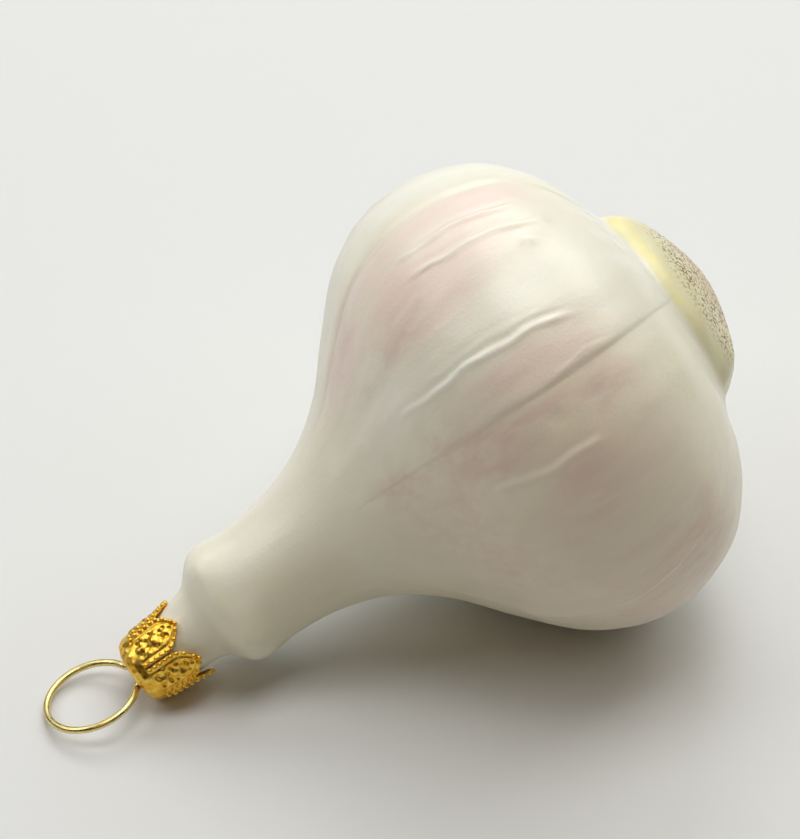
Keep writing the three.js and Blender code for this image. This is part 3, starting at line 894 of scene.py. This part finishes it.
def plate_paint(m, place):
    """Colour of the root plate with its broken brown specks, and painted light on the side that faces the
    lamps.
    """
    # Yellow paint, lemon on the side facing the lamps as painted light, the plate colour elsewhere.
    yellow_and_painted_light = m.span(m.attribute("yellow_and_painted_light"), 0.25, 0.85)
    cloud = m.span(m.noise(place, 0.7), 0.35, 0.7, 0.0, 0.5)
    cells = {"Vector": place, "Scale": 1.3, "Randomness": 1.0}
    worms = m.add("ShaderNodeTexVoronoi", cells, feature="DISTANCE_TO_EDGE").outputs["Distance"]
    broken = m.span(m.noise(place, 2.3, 2), 0.46, 0.53)
    dashes = m.times(m.span(worms, 0.07, 0.16, 1.0, 0.0), broken)
    cover = m.times(m.attribute("speck_cover"), m.span(m.noise(place, 0.45, 2), 0.3, 0.6, 0.6, 1.0))
    plate = m.mix(yellow_and_painted_light, colour("plate"), colour("yellow_and_painted_light"))
    plate = m.coat(plate, m.attribute("orange"), "orange")
    plate = m.coat(plate, cloud, "cloud")
    plate = m.coat(plate, m.times(m.attribute("tan"), 0.6), "tan")
    return m.coat(plate, m.times(dashes, cover), "speck")


def painted_glass():
    m = Nodes("painted_glass")
    place = m.attribute("place", "Vector")
    strokes = m.attribute("strokes", "Vector")
    painted = m.mix(m.attribute("plate"), skin_paint(m, place, strokes), plate_paint(m, place))
    m.set(Base_Color=painted, Metallic=0.0, Coat_Weight=0.35, Coat_Roughness=0.22, Specular_IOR_Level=0.5)
    m.set(Roughness=m.span(m.noise(place, 0.9, 4), 0.3, 0.7, 0.36, 0.5))
    m.set(Subsurface_Weight=0.25, Subsurface_Scale=0.0025)
    m.shader.inputs["Subsurface Radius"].default_value = (1.0, 0.75, 0.5)
    grain = m.math("ADD", m.noise(place, 2.2, 4, 0.6), m.times(m.noise(strokes, 0.9), 1.5))
    m.bump(grain, 0.00006, 0.6)
    return m.material


def gilding(name, tones, scales, roughness, grain_detail, grain_depth, grain_strength):
    """Worn gilt metal. The scales are those of its tone, its polish and its grain."""
    m = Nodes(name)
    place = m.add("ShaderNodeTexCoord").outputs["Object"]
    tone_scale, polish_scale, grain_scale = scales
    worn = m.span(m.noise(place, tone_scale), 0.35, 0.65)
    m.set(Base_Color=m.mix(worn, colour(tones[0]), colour(tones[1])), Metallic=1.0)
    m.set(Roughness=m.span(m.noise(place, polish_scale), 0.3, 0.7, *roughness))
    m.bump(m.noise(place, grain_scale, grain_detail), grain_depth, grain_strength)
    return m.material


def build_camera():
    slope = math.radians(IMAGE_SLOPE)
    tilt = math.radians(AXIS_TILT)
    elevation = math.acos(math.sin(tilt) / math.sin(slope))
    swing = math.asin(math.tan(tilt) * math.tan(elevation))
    level = math.cos(elevation)
    toward = Vector((-math.sin(swing) * level, -math.cos(swing) * level, math.sin(elevation)))
    right = Vector((math.cos(swing), -math.sin(swing), 0))
    up = toward.cross(right)
    axis = Vector((math.cos(tilt), 0, math.sin(tilt)))
    beside = math.sin(slope) * right - math.cos(slope) * up
    target = Vector(ROOT_APEX) - axis * AIM[0] + beside * AIM[1]
    data = bpy.data.cameras.new("camera")
    camera = bpy.data.objects.new("camera", data)
    bpy.context.scene.collection.objects.link(camera)
    camera.location = (target + toward * CAMERA_DISTANCE) * MM
    camera.rotation_mode = "QUATERNION"
    camera.rotation_quaternion = Matrix((right, up, toward)).transposed().to_quaternion()
    data.sensor_width = SENSOR
    data.lens = SENSOR * CAMERA_DISTANCE / PIXEL / max(IMAGE)
    data.clip_start, data.clip_end = CAMERA_CLIP
    bpy.context.scene.camera = camera


def area_light(name, place, power, tint):
    data = bpy.data.lights.new(name, "AREA")
    data.shape = "RECTANGLE"
    data.size, data.size_y = LIGHT_SIZE
    data.energy = power
    data.color = tint
    light = bpy.data.objects.new(name, data)
    bpy.context.scene.collection.objects.link(light)
    light.location = place
    light.rotation_mode = "QUATERNION"
    light.rotation_quaternion = (Vector(LIGHT_AIM) - place).to_track_quat("-Z", "Y")


def build_studio():
    corners = [(x * TABLE_HALF, y * TABLE_HALF, 0) for x, y in ((-1, -1), (1, -1), (1, 1), (-1, 1))]
    floor = new_object("floor", corners, [(0, 1, 2, 3)], smooth=False)
    m = Nodes("pale_table")
    m.set(Base_Color=TABLE_COLOUR, Roughness=0.6, Specular_IOR_Level=0.3)
    floor.data.materials.append(m.material)
    world = bpy.data.worlds.new("pale_room")
    bpy.context.scene.world = world
    world.use_nodes = True
    background = world.node_tree.nodes["Background"]
    background.inputs["Color"].default_value = ROOM_COLOUR
    background.inputs["Strength"].default_value = ROOM_STRENGTH
    for name, turn_degrees, height_degrees, power, tint in STUDIO:
        turn = math.radians(turn_degrees)
        height = math.radians(height_degrees)
        level = math.cos(height)
        place = Vector((math.sin(turn) * level, math.cos(turn) * level, math.sin(height)))
        area_light(name, place * LIGHT_DISTANCE, power, tint)
    bpy.context.scene.view_settings.view_transform = "Standard"


build_camera()
glass = build_glass()
cap = build_cap()
wire = build_wire()
sheet_gilding = gilding(
    "gilt_sheet", ("gilt", "bright_gilt"), (900, 1600, 2600), (0.27, 0.4), 3, 0.00003, 0.5)
wire_gilding = gilding(
    "gilt_wire", ("wire", "bright_wire"), (500, 1200, 1800), (0.24, 0.38), 2, 0.00002, 0.4)
for made, node, slot, material in (
    (glass, "glass_bulb", "painted_glass", painted_glass()),
    (cap, "crown_cap", "gilt_sheet", sheet_gilding),
    (wire, "hanger_wire", "gilt_wire", wire_gilding),
):
    made.data.materials.append(material)
    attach(made, "root")
    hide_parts(node)
build_studio()

bpy.context.view_layer.update()
